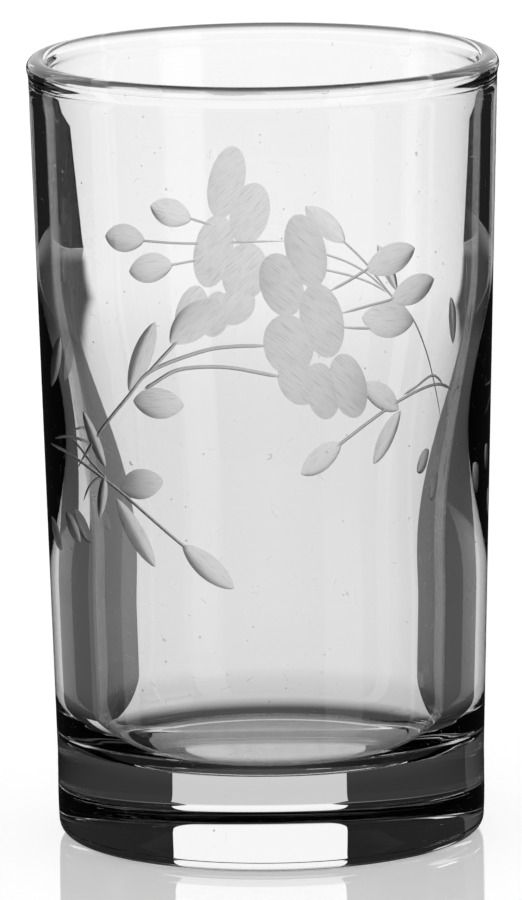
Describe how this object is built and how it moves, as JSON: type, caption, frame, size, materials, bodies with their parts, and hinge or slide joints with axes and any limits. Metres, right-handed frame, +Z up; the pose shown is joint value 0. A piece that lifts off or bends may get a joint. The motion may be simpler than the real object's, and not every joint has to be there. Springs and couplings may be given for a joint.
{
  "type": "drinking glass tumbler",
  "caption": "Tall clear glass tumbler with a bead rim, a heavy base, a gently flared wall and a wheel-cut flower spray on each side.",
  "frame": {"origin": "centre of the foot, on the plane the glass stands on", "axes": "+Z up along the glass's axis, -Y through the first flower spray's side, +X to the right of it"},
  "size_m": [0.0598, 0.0598, 0.1],
  "materials": {
    "clear_glass": "polished clear glass with the ornament ground matt"
  },
  "bodies": {
    "root": {"glass_body": "clear_glass"}
  },
  "joints": []
}
